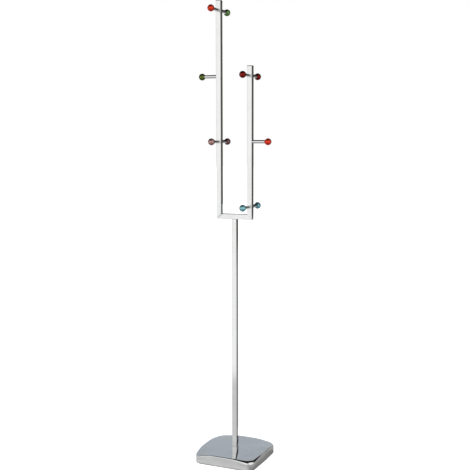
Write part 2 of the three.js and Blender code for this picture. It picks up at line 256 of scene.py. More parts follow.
def ironMaterial():
    # sand casting under thin black paint: coarse grains as relief, dust in the hollows
    look = ironLook
    material, shop = newMaterial("paintedCasting")
    place = shop.place()
    sand = shop.noise(place, look["sandScale"], 5.0, 0.65)
    pits = shop.cells(place, look["pitScale"])
    dust = shop.ramp(sand + look["pitShare"] * pits, *look["dust"])
    finishMaterial(shop, {
        "Base Color": shop.mix(look["dustShare"] * dust, look["tone"], look["dustTone"]),
        "Roughness": look["roughness"] + look["dustRoughness"] * dust,
        "Normal": shop.bump(look["sandHeight"] * sand + look["pitHeight"] * pits),
    })
    return material


sheetLook = {  # the plate under the foot
    "tone": shade(0.018, 0.018, 0.019),
    "wornTone": shade(0.05, 0.05, 0.052),
    "peelScale": 520.0,
    "peelHeight": 0.04 * mm,
    "rubScale": 30.0,
    "rubbed": (0.5, 0.75),
    "roughness": 0.42,
    "rubbedRoughness": 0.15,
    "peelRoughness": 0.1,
}


def blackSheetMaterial():
    # powder coat: orange peel relief and slightly greyer rubbed patches
    look = sheetLook
    material, shop = newMaterial("blackPowderCoat")
    place = shop.place()
    peel = shop.noise(place, look["peelScale"], 2.0)
    rubbed = shop.ramp(shop.noise(place, look["rubScale"], 5.0, 0.6), *look["rubbed"])
    finishMaterial(shop, {
        "Base Color": shop.mix(rubbed, look["tone"], look["wornTone"]),
        "Roughness": look["roughness"] + look["rubbedRoughness"] * rubbed + look["peelRoughness"] * peel,
        "Normal": shop.bump(look["peelHeight"] * peel),
    })
    return material


rubberLook = {  # the four pads
    "tone": shade(0.012, 0.012, 0.012),
    "dustTone": shade(0.06, 0.057, 0.052),
    "grainScale": 2200.0,
    "grainHeight": 0.02 * mm,
    "dustScale": 160.0,
    "dust": (0.48, 0.8),
    "dustShare": 0.7,
    "roughness": 0.72,
    "dustRoughness": 0.15,
}


def rubberMaterial():
    # moulded rubber with a fine matt grain and floor dust rubbed into it
    look = rubberLook
    material, shop = newMaterial("blackRubber")
    place = shop.place()
    grain = shop.noise(place, look["grainScale"], 3.0)
    dust = shop.ramp(shop.noise(place, look["dustScale"], 5.0, 0.7), *look["dust"])
    finishMaterial(shop, {
        "Base Color": shop.mix(look["dustShare"] * dust, look["tone"], look["dustTone"]),
        "Roughness": look["roughness"] + look["dustRoughness"] * dust,
        "Normal": shop.bump(look["grainHeight"] * grain),
    })
    return material


capLook = {  # the caps in the arms' upper ends
    "tone": shade(0.040, 0.030, 0.028),
    "paleTone": shade(0.065, 0.052, 0.048),
    "grainScale": 1800.0,
    "grainHeight": 0.012 * mm,
    "flowScale": 140.0,
    "flowShare": 0.5,
    "roughness": 0.42,
    "grainRoughness": 0.12,
}


def capMaterial():
    # dark moulded plastic with a spark-eroded grain and paler flow marks
    look = capLook
    material, shop = newMaterial("capPlastic")
    place = shop.place()
    grain = shop.noise(place, look["grainScale"], 3.0)
    flow = shop.noise(place, look["flowScale"], 3.0, 0.5, 1.2)
    finishMaterial(shop, {
        "Base Color": shop.mix(look["flowShare"] * flow, look["tone"], look["paleTone"]),
        "Roughness": look["roughness"] + look["grainRoughness"] * grain,
        "Normal": shop.bump(look["grainHeight"] * grain),
    })
    return material


ballLook = {
    "cloudScale": 60.0,
    "cloud": (0.35, 0.7),
    "hazeScale": 90.0,
    "haze": (0.45, 0.8),
    "grainScale": 1500.0,
    "grainHeight": 0.001 * mm,
    "scratchScale": 420.0,
    "scratch": (0.03, 0.0),
    "scratchHeight": 0.002 * mm,
    "roughness": 0.10,
    "hazeRoughness": 0.05,
    "scratchRoughness": 0.08,
    "metal": 0.8,
    "deepShare": 0.8,  # of the tone, where the dye is deepest
    "edgePower": 0.7,  # the tone seen along the skin is the dye's own, raised to this
    "tone": {
        "red_ball": (0.62, 0.045, 0.020),
        "green_ball": (0.12, 0.23, 0.065),
        "olive_ball": (0.095, 0.13, 0.030),
        "rose_ball": (0.37, 0.215, 0.205),
        "plum_ball": (0.20, 0.10, 0.11),
        "maroon_ball": (0.18, 0.012, 0.008),
        "orange_ball": (0.68, 0.050, 0.025),
        "turquoise_ball": (0.22, 0.48, 0.53),
        "teal_ball": (0.14, 0.35, 0.42),
    },
}


def camelName(words, capital=False):
    # left_top_front_peg becomes leftTopFrontPeg
    joined = "".join(part.capitalize() for part in words.split("_"))
    return joined if capital else joined[0].lower() + joined[1:]


def ballMaterial(slotName):
    # dyed anodised metal: slightly uneven dye, a fine grain from turning, haze and scratches from hands
    look = ballLook
    material, shop = newMaterial("anodised" + camelName(slotName, True))
    place = shop.place()
    cloud = shop.ramp(shop.noise(place, look["cloudScale"], 3.0, 0.55, 0.8), *look["cloud"])
    haze = shop.ramp(shop.noise(place, look["hazeScale"], 4.0, 0.6), *look["haze"])
    grain = shop.noise(place, look["grainScale"], 2.0)
    scratch = shop.ramp(shop.cells(place, look["scratchScale"], "DISTANCE_TO_EDGE"), *look["scratch"])
    tone = look["tone"][slotName]
    deep = [part * look["deepShare"] for part in tone]
    finishMaterial(shop, {
        "Base Color": shop.mix(cloud, shade(*deep), shade(*tone)),
        "Metallic": look["metal"],
        "Specular Tint": shade(*[part ** look["edgePower"] for part in tone]),
        "Roughness": look["roughness"] + look["hazeRoughness"] * haze + look["scratchRoughness"] * scratch,
        "Normal": shop.bump(look["scratchHeight"] * (haze - scratch) + look["grainHeight"] * grain),
    })
    return material


materialOfSlot = {
    "chrome": chromeMaterial(),
    "zinc_steel": zincMaterial(),
    "cast_iron": ironMaterial(),
    "black_sheet": blackSheetMaterial(),
    "black_rubber": rubberMaterial(),
    "cap_plastic": capMaterial(),
}
for slotName in ballLook["tone"]:
    materialOfSlot[slotName] = ballMaterial(slotName)
print("materials made:", len(materialOfSlot))


def filleted(corners, steps=6, support=0.0, closed=False):
    # each corner is x, y and the radius it is rounded with; the arc is
    # centre + (sin((1-s)·a)·start + sin(s·a)·end) / sin(a), with s from 0 to 1 and a the arc's angle;
    # support adds a point that far beyond each end of an arc, to keep the straights flat when shaded
    count = len(corners)
    points = []
    for i, (x, y, radius) in enumerate(corners):
        here = np.array([x, y])
        if radius == 0 or (not closed and i in (0, count - 1)):
            points.append(here[None])
            continue
        before = np.array(corners[i - 1][:2]) - here
        after = np.array(corners[(i + 1) % count][:2]) - here
        before = before / np.linalg.norm(before)
        after = after / np.linalg.norm(after)
        half = math.acos(np.clip(before @ after, -1, 1)) / 2
        reach = radius / math.tan(half)
        centre = here + (before + after) / np.linalg.norm(before + after) * radius / math.sin(half)
        start = here + before * reach - centre
        end = here + after * reach - centre
        angle = math.pi - 2 * half
        s = np.linspace(0, 1, steps + 1)[:, None]
        arc = centre + (np.sin((1 - s) * angle) * start + np.sin(s * angle) * end) / math.sin(angle)
        if support:
            arc = np.vstack([here + before * (reach + support), arc, here + after * (reach + support)])
        points.append(arc)
    return np.vstack(points)


def roundedRectangle(x, y, soft, steps, support=0.0):
    # the closed loop between the pairs x and y, its corners rounded with soft
    corners = [(x[0], y[0], soft), (x[1], y[0], soft), (x[1], y[1], soft), (x[0], y[1], soft)]
    return filleted(corners, steps, support, closed=True)


def densified(profile, longest):
    # a + (b - a)·s on every stretch from a to b longer than longest, in equal steps of s
    pieces = []
    for a, b in zip(profile[:-1], profile[1:]):
        steps = max(1, math.ceil(np.linalg.norm(b - a) / longest))
        pieces.append(a + (b - a) * np.linspace(0, 1, steps, endpoint=False)[:, None])
    return np.vstack([*pieces, profile[-1:]])


def densifiedLoop(loop, longest):
    # the same for a loop, back to its first point and without repeating it
    return densified(np.vstack([loop, loop[:1]]), longest)[:-1]


def roundAngles(steps):
    # turn·i/steps
    return np.arange(steps) * turn / steps


def rounded(angle, radius, height):
    # (r·cos a, r·sin a, h)
    return np.stack(np.broadcast_arrays(radius * np.cos(angle), radius * np.sin(angle), height), axis=-1)


def turned(profile, steps=64, radiusAt=None):
    # each profile point (r, h) at each angle a; radiusAt may change r with a
    angle = roundAngles(steps)[:, None]
    radius, height = profile[None, :, 0], profile[None, :, 1]
    if radiusAt:
        radius = radiusAt(angle, radius, height)
    return rounded(angle, radius, height)


directions = {
    "front": np.array([0.0, -1.0, 0.0]),
    "rear": np.array([0.0, 1.0, 0.0]),
    "left": np.array([-1.0, 0.0, 0.0]),
    "right": np.array([1.0, 0.0, 0.0]),
    "up": np.array([0.0, 0.0, 1.0]),
}


def laidAlong(points, origin, direction):
    # origin + x·side + y·upward + z·direction, with side = up × direction and upward = direction × side
    level = abs(direction[2]) < 0.5
    side = np.cross(directions["up"], direction) if level else directions["right"]
    upward = np.cross(direction, side)
    return origin + points[..., 0:1] * side + points[..., 1:2] * upward + points[..., 2:3] * direction


def gridFaces(around, along, closedAlong):
    # quads between neighbouring steps of a grid that closes on itself around, and along if asked
    i, j = np.meshgrid(np.arange(around), np.arange(along if closedAlong else along - 1), indexing="ij")
    nextI = (i + 1) % around
    nextJ = (j + 1) % along
    quads = np.stack([i * along + j, nextI * along + j, nextI * along + nextJ, i * along + nextJ], axis=-1)
    return quads.reshape(-1, 4)


def meshOf(name, points, closedAlong=False):
    # the grid as a closed mesh: rows that meet in one point are merged, and faces turned outwards
    around, along = points.shape[:2]
    quads = gridFaces(around, along, closedAlong)
    mesh = bpy.data.meshes.new(name)
    mesh.vertices.add(around * along)
    mesh.vertices.foreach_set("co", points.reshape(-1).astype(np.float32))
    mesh.loops.add(quads.size)
    mesh.loops.foreach_set("vertex_index", quads.reshape(-1).astype(np.int32))
    mesh.polygons.add(len(quads))
    mesh.polygons.foreach_set("loop_start", np.arange(0, quads.size, 4, dtype=np.int32))
    mesh.update(calc_edges=True)
    shell = bmesh.new()
    shell.from_mesh(mesh)
    bmesh.ops.remove_doubles(shell, verts=shell.verts, dist=1e-7)
    bmesh.ops.recalc_face_normals(shell, faces=shell.faces)
    shell.to_mesh(mesh)
    shell.free()
    return mesh


drillSteps = 48


def drilled(mesh, holes):
    # holes are (origin, direction, radius, length): round bars taken out of the mesh
    body = bpy.data.objects.new("drilling", mesh)
    scene.collection.objects.link(body)
    for origin, direction, radius, length in holes:
        bar = turned(np.array([(0, 0), (radius, 0), (radius, length), (0, length)]), drillSteps)
        cutter = bpy.data.objects.new("drill", meshOf("drill", laidAlong(bar, origin, direction)))
        scene.collection.objects.link(cutter)
        step = body.modifiers.new("hole", "BOOLEAN")
        step.operation = "DIFFERENCE"
        step.solver = "EXACT"
        step.object = cutter
    bpy.context.view_layer.update()
    result = bpy.data.meshes.new_from_object(body.evaluated_get(bpy.context.evaluated_depsgraph_get()))
    for step in list(body.modifiers):
        bpy.data.objects.remove(step.object)
    bpy.data.objects.remove(body)
    return result


def addPiece(node, points, closedAlong=False, holes=(), sharpDegrees=32):
    # the grid's mesh, drilled, stands for one node of the frame, in that node's finish
    mesh = meshOf(node, points, closedAlong)
    if holes:
        mesh = drilled(mesh, holes)
    mesh.shade_smooth()
    mesh.set_sharp_from_angle(angle=math.radians(sharpDegrees))
    piece = bpy.data.objects.new(camelName(node), mesh)
    scene.collection.objects.link(piece)
    slotName = slotOfNode[node]
    mesh.materials.clear()
    mesh.materials.append(materialOfSlot[slotName])
    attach(piece, "root")
    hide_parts(node)


def boxOf(node):
    # the node's least and greatest corner
    low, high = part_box(node)
    return np.array(low), np.array(high)


def middleOf(node):
    # (low + high) / 2
    low, high = boxOf(node)
    return (low + high) / 2


tube = {  # post, crossbar and arms
    "corner": 1.2 * mm,
    "cornerShare": 0.8,  # how much of the corner radius may go before the section is scaled down
    "wall": 1.5 * mm,
    "bow": 0.12 * mm,
    "cornerSteps": 8,
    "faceSteps": 12,
    "endRound": 0.35 * mm,
    "stationPitch": 25 * mm,
}


def squareSection(size, corner):
    # core and normal of every point round the section, the point being core + normal·(corner - inset);
    # a face stands at size/2 - bow·s², with s from -1 to 1 along it and closer together near its ends
    side = size / 2 - corner
    bow = tube["bow"]
    s = np.sin(np.linspace(-math.pi / 2, math.pi / 2, tube["faceSteps"] + 1))[:, None]
    surfaces, normals = [], []
    for quarter in range(4):
        start = quarter * math.pi / 2
        facing = np.array([math.cos(start), math.sin(start)])
        along = np.array([-math.sin(start), math.cos(start)])
        tilted = facing + along * (2 * bow / side * s)
        angle = start + np.linspace(0, math.pi / 2, tube["cornerSteps"] + 1)[1:-1, None]
        arc = np.hstack([np.cos(angle), np.sin(angle)])
        surfaces.append(facing * (size / 2 - bow * s ** 2) + along * side * s)
        surfaces.append((facing + along) * side + arc * (corner - bow))
        normals += [tilted / np.linalg.norm(tilted, axis=1, keepdims=True), arc]
    surface, normal = np.vstack(surfaces), np.vstack(normals)
    return surface - normal * corner, normal


def drawnIn(cores, normals, size, inset):
    # the section moved in by inset: along its normals for a share of the corner radius, then scaled down
    own = np.minimum(inset, tube["corner"] * tube["cornerShare"])
    flat = cores[:, None] + normals[:, None] * (tube["corner"] - own)
    return flat * (size / 2 - inset) / (size / 2 - own)


def squareTube(size, length, lowSlope=0.0, highSlope=0.0):
    # an upright tube from 0 to length: outside up, over the end, inside down. An end with a slope is slanted:
    # z gains slope·x plus half the size at the low end, and loses as much at the high end
    cores, normals = squareSection(size, tube["corner"])
    edge = tube["endRound"]
    wall = tube["wall"]
    loop = filleted([(0, 0, edge), (0, length, edge), (wall, length, edge), (wall, 0, edge)], 4, closed=True)
    loop = densifiedLoop(loop, tube["stationPitch"])
    inset, height = loop[None, :, 0:1], loop[None, :, 1]
    flat = drawnIn(cores, normals, size, inset)
    share = height / length
    x = flat[..., 0]
    low = lowSlope * x + abs(lowSlope) * size / 2
    high = highSlope * x - abs(highSlope) * size / 2
    z = height + low * (1 - share) + high * share
    return np.concatenate([flat, z[..., None]], axis=-1)


stud = {  # the threaded rods in pegs and balls
    "radius": 3.0 * mm,
    "clearance": 0.3 * mm,
    "pitch": 1.0 * mm,
    "threadDepth": 0.54 * mm,
    "endChamfer": 0.7 * mm,
    "rowsPerPitch": 10,
    "steps": 32,
}
rivetHoleRadius = 4.8 * mm
holeRadius = stud["radius"] + stud["clearance"]
postLow, postHigh = boxOf("post")
tubeSize = postHigh[0] - postLow[0]


def makePost():
    # a plain tube, drilled from behind for the two joint screws
    points = squareTube(tubeSize, postHigh[2] - postLow[2]) + np.array([0, 0, postLow[2]])
    holes = [
        (middleOf(screw) * np.array([0, 0, 1]), directions["rear"], holeRadius, tubeSize)
        for screw in ("joint_screw_upper", "joint_screw_lower")
    ]
    addPiece("post", points, True, holes)


def makeCrossbar():
    # a tube mitred at both ends and laid down: (z, y, -x)
    low, high = boxOf("crossbar")
    upright = squareTube(tubeSize, high[0] - low[0], -1.0, 1.0)
    middle = (low[2] + high[2]) / 2
    points = np.stack([upright[..., 2] + low[0], upright[..., 1], middle - upright[..., 0]], axis=-1)
    addPiece("crossbar", points, True)


def makeArm(side, outward):
    # a tube with a mitred foot, drilled through for two pairs of pegs and from outside for one peg
    node = side + "_arm"
    low, high = boxOf(node)
    axis = np.array([(low[0] + high[0]) / 2, 0, 0])
    points = squareTube(tubeSize, high[2] - low[2], -outward) + axis + np.array([0, 0, low[2]])
    holes = []
    for level in ("top", "low"):
        height = middleOf(f"{side}_{level}_front_ball")[2]
        start = axis + np.array([0, -tubeSize, height])
        holes.append((start, directions["rear"], holeRadius, 2 * tubeSize))
    height = middleOf(f"{side}_middle_side_ball")[2]
    holes.append((axis + np.array([0, 0, height]), directions[side], rivetHoleRadius, tubeSize))
    addPiece(node, points, True, holes)


makePost()
makeCrossbar()
makeArm("left", -1.0)
makeArm("right", 1.0)
print("tubes made")


cap = {
    "plate": 2.5 * mm,
    "plateSoft": 0.15 * mm,
    "edgeRound": 0.9 * mm,
    "dome": 0.35 * mm,
    "plugInset": 1.8 * mm,
    "plugTaper": 0.6 * mm,
    "plugEndRound": 0.2 * mm,
    # grooves leave ribs on the plug: how much deeper and how much higher each of their four corners is
    "grooveHeights": [3 * mm, 5.5 * mm, 8 * mm],
    "groove": [(0.05 * mm, -0.8 * mm), (0.25 * mm, -0.3 * mm), (0.25 * mm, 0.0), (0.05 * mm, 0.2 * mm)],
    "grooveSoft": 0.1 * mm,
    "longestStep": 0.8 * mm,
    "sprueRadius": 1.6 * mm,
    "sprueDepth": 0.25 * mm,
}


def makeCap(side):
    # the square section drawn in by inset while the height follows: up the ribbed plug, over the plate,
    # and in to the middle, where the sprue's mark is depth·(1.5 - distance/radius) deep, between 0 and depth
    node = side + "_arm_cap"
    low, high = boxOf(node)
    top = high[2]
    plateLow = top - cap["plate"]
    plug = cap["plugInset"]
    corners = [(tubeSize / 2, low[2], 0), (plug + cap["plugTaper"], low[2], cap["plugEndRound"])]
    for height in cap["grooveHeights"]:
        for deeper, rise in cap["groove"]:
            corners.append((plug + deeper, low[2] + height + rise, cap["grooveSoft"]))
    corners += [(plug, plateLow, 0), (0.0, plateLow, cap["plateSoft"])]
    corners += [(0.0, top - cap["dome"], cap["edgeRound"]), (tubeSize / 2, top, 0)]
    profile = densified(filleted(corners, 5), cap["longestStep"])
    cores, normals = squareSection(tubeSize, tube["corner"])
    inset, height = profile[None, :, 0:1], profile[None, :, 1]
    flat = drawnIn(cores, normals, tubeSize, inset)
    distance = np.linalg.norm(flat, axis=-1)
    sprue = cap["sprueDepth"] * np.clip(1.5 - distance / cap["sprueRadius"], 0, 1) * (height > plateLow)
    z = np.broadcast_to(height, flat.shape[:2]) - sprue
    points = np.concatenate([flat, z[..., None]], axis=-1)
    points[..., 0] += (low[0] + high[0]) / 2
    addPiece(node, points)


makeCap("left")
makeCap("right")
print("caps made")


peg = {
    "diameter": 13 * mm,
    "chamfer": 0.5 * mm,
    "tappedDepth": 12 * mm,
    "countersink": 0.5 * mm,
    "edgeSoft": 0.12 * mm,
    "mouthSoft": 0.08 * mm,
    "floorSoft": 0.1 * mm,
    "support": 0.05 * mm,
    "longestStep": 4 * mm,
    "steps": 96,
}
ball = {
    "holeDepth": 10 * mm,
    "countersink": 0.4 * mm,
    "mouthSoft": 0.08 * mm,
    "floorSoft": 0.1 * mm,
    "flatRound": 0.25 * mm,
    "support": 0.04 * mm,
    "rings": 72,
    "steps": 128,
}
rivet = {
    "bodyRadius": 4.5 * mm,
    "bulgeRadius": 5.6 * mm,
    "flangeRadius": 6 * mm,
    "flange": 0.5 * mm,
    "bodyTop": 5 * mm,  # from here to the tube's face the body is squeezed outwards
    "bulgeLow": 2 * mm,  # behind the wall
    "bulgeHigh": 0.3 * mm,
    "bulgeRound": 0.5 * mm,
    "bulgeEdge": 0.3 * mm,
    "soft": 0.12 * mm,
    "endRound": 0.3 * mm,
    "knurls": 24,
    "knurlDepth": 0.12 * mm,
    "longestStep": 1 * mm,
    "steps": 144,
}
ballLow, ballHigh = boxOf("left_top_front_ball")
ballRadius = (ballHigh[0] - ballLow[0]) / 2


def outerReach(node, direction):
    # where the node starts and ends, measured from the arm's axis plane along direction
    low, high = boxOf(node)
    a, b = low @ direction, high @ direction
    return min(a, b), max(a, b)


def axisOrigin(node, direction):
    # middle - (middle · direction)·direction
    middle = middleOf(node)
    return middle - (middle @ direction) * direction


def addAlong(node, points, direction, closedAlong=False):
    # a piece made round +Z from height 0, laid along direction where its node is
    addPiece(node, laidAlong(points, axisOrigin(node, direction), direction), closedAlong)


def makePeg(node, direction):
    # a turned bar with a chamfer at each edge and a countersunk blind hole in each end
    start, end = outerReach(node, direction)
    radius = peg["diameter"] / 2
    bevel, sink, deep = peg["chamfer"], peg["countersink"], peg["tappedDepth"]
    edge, mouth, floor = peg["edgeSoft"], peg["mouthSoft"], peg["floorSoft"]
    corners = [
        (0, start + deep + sink, 0),
        (holeRadius, start + deep, floor),
        (holeRadius, start + sink, 0),
        (holeRadius + sink, start, mouth),
        (radius - bevel, start, edge),
        (radius, start + bevel, edge),
        (radius, end - bevel, edge),
        (radius - bevel, end, edge),
        (holeRadius + sink, end, mouth),
        (holeRadius, end - sink, 0),
        (holeRadius, end - deep, floor),
        (0, end - deep - sink, 0),
    ]
    profile = densified(filleted(corners, 4, peg["support"]), peg["longestStep"])
    addAlong(node, turned(profile, peg["steps"]), direction)


def makeBall(node, direction):
    # a sphere on a flat as wide as the peg, with a countersunk blind hole:
    # (R·sin t, c - R·cos t), with t from asin(flat/R) to 180 degrees
    start, end = outerReach(node, direction)
    flat = peg["diameter"] / 2
    t = np.linspace(math.asin(flat / ballRadius), math.pi, ball["rings"])[1:]
    sphere = np.stack([ballRadius * np.sin(t), end - ballRadius - ballRadius * np.cos(t)], axis=-1)
    sphere[-1, 0] = 0
    sink = ball["countersink"]
    corners = [
        (0, start + ball["holeDepth"] + sink, 0),
        (holeRadius, start + ball["holeDepth"], ball["floorSoft"]),
        (holeRadius, start + sink, 0),
        (holeRadius + sink, start, ball["mouthSoft"]),
        (flat, start, ball["flatRound"]),
        (*sphere[0], 0),
    ]
    profile = np.vstack([filleted(corners, 5, ball["support"]), sphere[1:]])
    addAlong(node, turned(profile, ball["steps"]), direction)


def poleRow(steps, height):
    # (0, 0, h) once for every step round
    return np.broadcast_to(np.array([0.0, 0.0, height]), (steps, 1, 3))


def threadRows(start, end, thread, steps, chamferEnd=True):
    # r = R - depth·|2·frac(h/pitch - a/turn) - 1|, never more than a cone at its ends
    rows = max(2, round((end - start) / thread["pitch"] * thread["rowsPerPitch"]))
    height = np.linspace(start, end, rows + 1)
    profile = np.stack([np.full(rows + 1, thread["radius"]), height], axis=-1)

    def radiusAt(angle, fullRadius, h):
        phase = (h / thread["pitch"] - angle / turn) % 1
        cut = fullRadius - thread["threadDepth"] * np.abs(2 * phase - 1)
        fromEnd = np.minimum(h - start, end - h) if chamferEnd else h - start
        return np.minimum(cut, thread["radius"] - thread["endChamfer"] + fromEnd)

    return turned(profile, steps, radiusAt)


def makeStud(node, direction):
    # a threaded rod, closed to its axis at both ends
    start, end = outerReach(node, direction)
    steps = stud["steps"]
    rows = [poleRow(steps, start), threadRows(start, end, stud, steps), poleRow(steps, end)]
    addAlong(node, np.concatenate(rows, axis=1), direction)


def makeRivetNut(node, direction):
    # flange on the tube, body through its wall and the bulge that grips behind it; the body is knurled by
    # depth·(0.5 - 0.5·cos(knurls·a))
    start, end = outerReach(node, direction)
    face = end - rivet["flange"]
    behind = face - tube["wall"]
    body, bulge, flange = rivet["bodyRadius"], rivet["bulgeRadius"], rivet["flangeRadius"]
    soft = rivet["soft"]
    corners = [
        (holeRadius, start, soft),
        (body, start, rivet["endRound"]),
        (body, face - rivet["bodyTop"], soft),
        (bulge, behind - rivet["bulgeLow"], rivet["bulgeRound"]),
        (bulge, behind - rivet["bulgeHigh"], rivet["bulgeEdge"]),
        (body, behind - rivet["bulgeHigh"], soft),
        (body, face, soft),
        (flange, face, soft),
        (flange, end, soft),
        (holeRadius, end, soft),
    ]
    loop = densifiedLoop(filleted(corners, 4, closed=True), rivet["longestStep"])

    def knurled(angle, radius, height):
        onBody = (abs(radius - body) < 0.01 * mm) & (height < face - rivet["bodyTop"]) & (height > start)
        ripple = rivet["knurlDepth"] * (0.5 - 0.5 * np.cos(angle * rivet["knurls"]))
        return radius - np.where(onBody, ripple, 0)

    addAlong(node, turned(loop, rivet["steps"], knurled), direction, True)


makers = {"peg": makePeg, "ball": makeBall, "stud": makeStud, "nut": makeRivetNut}
for node in sorted(nodes):
    words = node.split("_")
    if node.endswith("_through_stud"):
        makeStud(node, directions["rear"])
    elif words[-1] in makers:
        side = words[0] if words[2] == "side" else words[2]
        makers[words[-1]](node, directions[side])
print("pegs and balls made")


foot = {  # the pressed cover
    "bow": 6 * mm,
    "cornerRadius": 33 * mm,
    "sheet": 1.2 * mm,
    "sideDrop": 2.5 * mm,
    "cornerDrop": 8 * mm,
    "sideEdge": 4 * mm,
    "cornerEdge": 15 * mm,
    "cornerSharpness": 6,
    "crownPower": 3,
    "hole": 5.3 * mm,
    "topRings": 40,
    "topSpacing": 0.8,  # below 1 the rings stand closer towards the edge
    "bendRings": 18,
    "wallRings": 12,
    "rimRings": 6,
    "steps": 360,
    "pressWave": 0.10 * mm,
    "pressWaves": [(1.0, 9, 0.7), (0.6, 16, 2.1)],  # share, waves round the foot, phase
    "sharpDegrees": 50,
}
coverLow, coverHigh = boxOf("base_cover")
footHalf = coverHigh[0]
straightCorner = footHalf - foot["bow"]
sideRadius = (straightCorner ** 2 + foot["bow"] ** 2) / (2 * foot["bow"])
sideCentre = footHalf - sideRadius
radiusDifference = sideRadius - foot["cornerRadius"]
cornerCentre = (sideCentre + math.sqrt(2 * radiusDifference ** 2 - sideCentre ** 2)) / 2


def rayLength(angle, centreX, centreY, radius):
    # along + sqrt(along² - cx² - cy² + r²), with along = cx·cos a + cy·sin a
    along = centreX * np.cos(angle) + centreY * np.sin(angle)
    return along + np.sqrt(along ** 2 - centreX ** 2 - centreY ** 2 + radius ** 2)


def footRadius(angle):
    # distance from the middle to the outline: the bowed side's arc, or the corner's arc past their joint
    quarter = math.pi / 2
    fromSide = np.abs(angle - quarter * np.round(angle / quarter))
    reach = sideRadius / radiusDifference
    joint = math.atan2(cornerCentre * reach, sideCentre + (cornerCentre - sideCentre) * reach)
    side = rayLength(fromSide, sideCentre, 0, sideRadius)
    corner = rayLength(fromSide, cornerCentre, cornerCentre, foot["cornerRadius"])
    return np.where(fromSide < joint, side, corner)


def coverSkin(angle, inset):
    # radius and height of one skin from the bolt hole to the lower rim. The top falls as
    # crown - drop·(r/outer)³ and turns down through an arc; drop and arc grow towards the corners with
    # |sin 2a|⁶, and the wall is very slightly wavy from the press, never outside the outline
    outer = footRadius(angle)
    cornerness = np.abs(np.sin(2 * angle)) ** foot["cornerSharpness"]
    drop = foot["sideDrop"] + (foot["cornerDrop"] - foot["sideDrop"]) * cornerness
    edge = foot["sideEdge"] + (foot["cornerEdge"] - foot["sideEdge"]) * cornerness
    power = foot["crownPower"]
    top = coverHigh[2]
    slope = np.arctan(power * drop / outer)
    edgeStart = outer - edge + edge * np.sin(slope)
    centreHeight = top - drop * (edgeStart / outer) ** power - edge * np.cos(slope)
    out = np.linspace(0, 1, foot["topRings"])[None]
    topRadius = foot["hole"] + (edgeStart - foot["hole"]) * out ** foot["topSpacing"]
    topHeight = top - drop * (topRadius / outer) ** power - inset
    bend = slope + (math.pi / 2 - slope) * np.linspace(0, 1, foot["bendRings"] + 1)[None, 1:]
    bendRadius = outer - edge + (edge - inset) * np.sin(bend)
    bendHeight = centreHeight + (edge - inset) * np.cos(bend)
    rim = coverLow[2] + foot["sheet"] / 2
    down = np.linspace(0, 1, foot["wallRings"] + 1)[None, 1:]
    wallHeight = centreHeight + (rim - centreHeight) * down
    wave = sum(share * (np.sin(count * angle + phase) - 1) for share, count, phase in foot["pressWaves"])
    wallRadius = outer - inset + foot["pressWave"] * wave * np.sin(math.pi * down)
    radius = np.concatenate([topRadius, bendRadius, wallRadius], axis=1)
    height = np.concatenate([topHeight, bendHeight, wallHeight], axis=1)
    return radius, height


def makeBaseCover():
    # the outer skin down, half a turn round the middle of the sheet at the rim, and the inner skin up
    angle = roundAngles(foot["steps"])[:, None]
    outerRadius, outerHeight = coverSkin(angle, 0)
    innerRadius, innerHeight = coverSkin(angle, foot["sheet"])
    half = foot["sheet"] / 2
    roll = np.linspace(0, math.pi, foot["rimRings"] + 2)[None, 1:-1]
    rimRadius = footRadius(angle) - half + half * np.cos(roll)
    rimHeight = np.broadcast_to(coverLow[2] + half - half * np.sin(roll), rimRadius.shape)
    radius = np.concatenate([outerRadius, rimRadius, innerRadius[:, ::-1]], axis=1)
    height = np.concatenate([outerHeight, rimHeight, innerHeight[:, ::-1]], axis=1)
    addPiece("base_cover", rounded(angle, radius, height), True, sharpDegrees=foot["sharpDegrees"])


padNodes = sorted(node for node in nodes if node.startswith("foot_pad"))
pad = {
    "radius": 12 * mm,
    "edge": 1.2 * mm,
    "shoulderRound": 0.3 * mm,
    "stemRadius": 4 * mm,
    "stemClearance": 0.3 * mm,
    "stemRound": 0.2 * mm,
    "stemTaper": 1 * mm,
    "barb": 0.25 * mm,
    "barbRise": 0.3 * mm,
    "barbHeights": [3 * mm, 5.5 * mm],
    "grooves": [3.5 * mm, 6.5 * mm, 9.5 * mm],
    "grooveWidth": 1.2 * mm,
    "grooveDepth": 0.7 * mm,
    "grooveRound": 0.15 * mm,
    "soft": 0.1 * mm,
    "longestStep": 1.5 * mm,
    "steps": 72,
}
plate = {  # the sheet that closes the foot underneath
    "mouth": 17 * mm,
    "inset": 3.5 * mm,
    "nominalWidth": 100 * mm,
    "edgeRound": 0.5 * mm,
    "ribRadius": 55 * mm,
    "ribWidth": 5 * mm,
    "ribHeight": 0.5 * mm,
    "longestStep": 2 * mm,
    "steps": 288,
}
plateLow, plateHigh = boxOf("bottom_plate")


